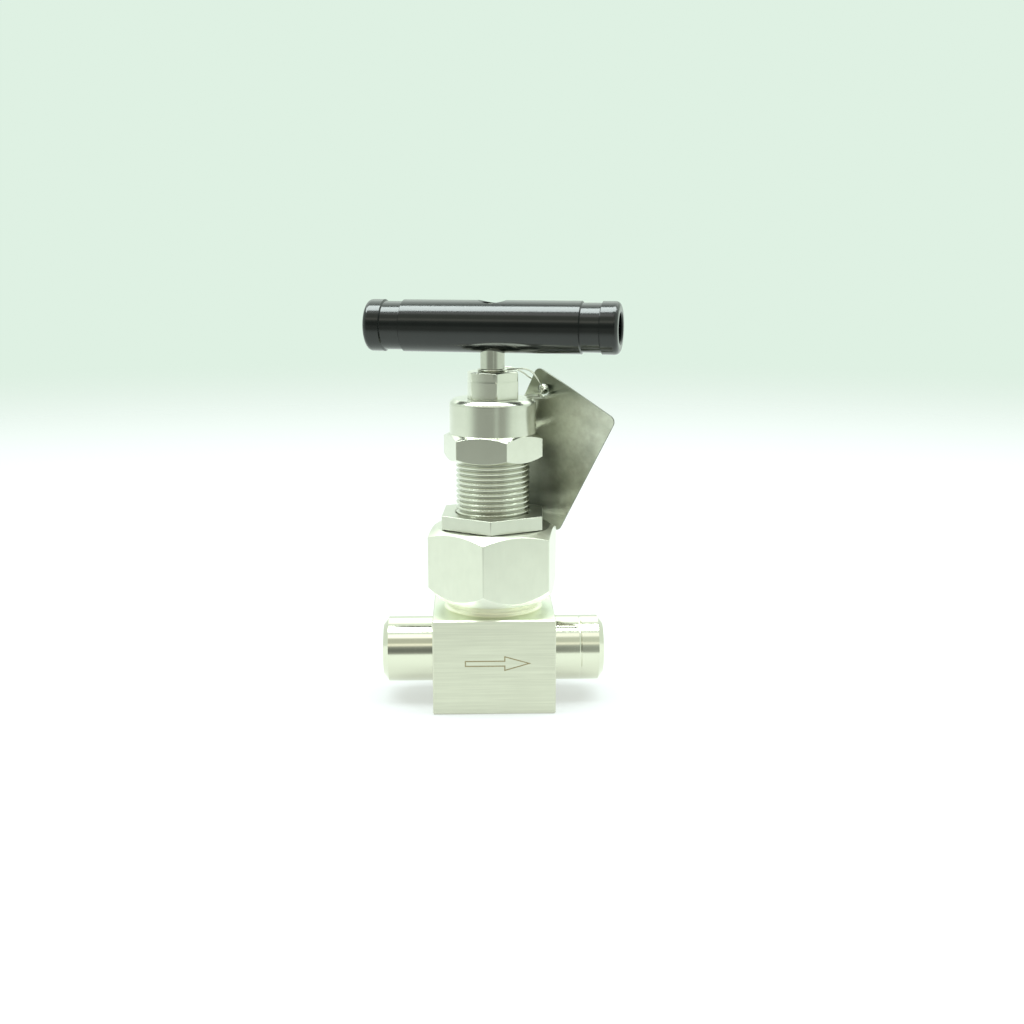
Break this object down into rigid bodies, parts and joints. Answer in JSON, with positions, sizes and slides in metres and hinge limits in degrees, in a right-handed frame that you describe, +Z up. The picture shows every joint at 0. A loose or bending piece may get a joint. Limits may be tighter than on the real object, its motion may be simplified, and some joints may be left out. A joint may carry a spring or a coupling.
{
  "type": "needle valve",
  "caption": "Union-bonnet needle valve with a square body, tube-socket ends, panel nut, packing bolt, bar handle and a wired metal tag.",
  "frame": {"origin": "centre of the body's base face, on the stem axis", "axes": "+X along the flow towards the outlet socket, +Z up the stem, so the engraved face looks along -Y"},
  "size_m": [0.0736, 0.0438, 0.116],
  "materials": {
    "body_steel": "fine horizontal brushing on the block, turned ends",
    "nut_steel": "satin machined",
    "thread_steel": "bright rolled thread",
    "turned_steel": "turned, fine rings",
    "stem_steel": "ground",
    "inner_steel": "machined",
    "seal_metal": "silver-plated",
    "packing_plastic": "moulded",
    "handle_black": "glossy black anodised",
    "screw_black": "black oxide",
    "wire_steel": "drawn wire",
    "tag_steel": "dull mottled sheet"
  },
  "bodies": {
    "valve_body": {"body": "body_steel", "union_nut": "nut_steel", "bonnet": "thread_steel", "bonnet_seal": "seal_metal", "anti_rotation_pin": "inner_steel", "bonnet_cap": "turned_steel", "packing_support": "inner_steel", "packing_ring_lower": "packing_plastic", "packing_ring_middle": "packing_plastic", "packing_ring_upper": "packing_plastic", "gland": "inner_steel", "packing_bolt": "nut_steel"},
    "panel_nut_body": {"panel_nut": "nut_steel"},
    "lower_stem_body": {"lower_stem": "inner_steel", "stem_tip": "inner_steel", "thrust_ball": "inner_steel"},
    "handle_body": {"upper_stem": "stem_steel", "bar_handle": "handle_black", "handle_set_screw": "screw_black"},
    "wire_body": {"tag_wire": "wire_steel"},
    "tag_body": {"tag_plate": "tag_steel"}
  },
  "joints": [
    {"name": "stem_lift", "type": "slide", "parent": "valve_body", "child": "lower_stem_body", "axis": [0, 0, 1], "range_m": [0, 0.0051]},
    {"name": "handle_turn", "type": "hinge", "parent": "lower_stem_body", "child": "handle_body", "pos_m": [0, 0, 0.1086], "axis": [0, 0, 1], "range_deg": [0, 1440]},
    {"name": "panel_nut_travel", "type": "slide", "parent": "valve_body", "child": "panel_nut_body", "axis": [0, 0, 1], "range_m": [0, 0.0152]},
    {"name": "tag_wire_swivel", "type": "hinge", "parent": "valve_body", "child": "wire_body", "pos_m": [0, 0, 0.0965], "axis": [0, 0, 1], "continuous": true},
    {"name": "tag_swing", "type": "hinge", "parent": "wire_body", "child": "tag_body", "pos_m": [0.01502, 0.00743, 0.0915], "axis": [-0.5501, -0.8218, -0.1483], "range_deg": [-20, 40]}
  ],
  "couplings": [
    {"joint": "stem_lift", "follows": "handle_turn", "m_per_rad": 0.00020213}
  ]
}
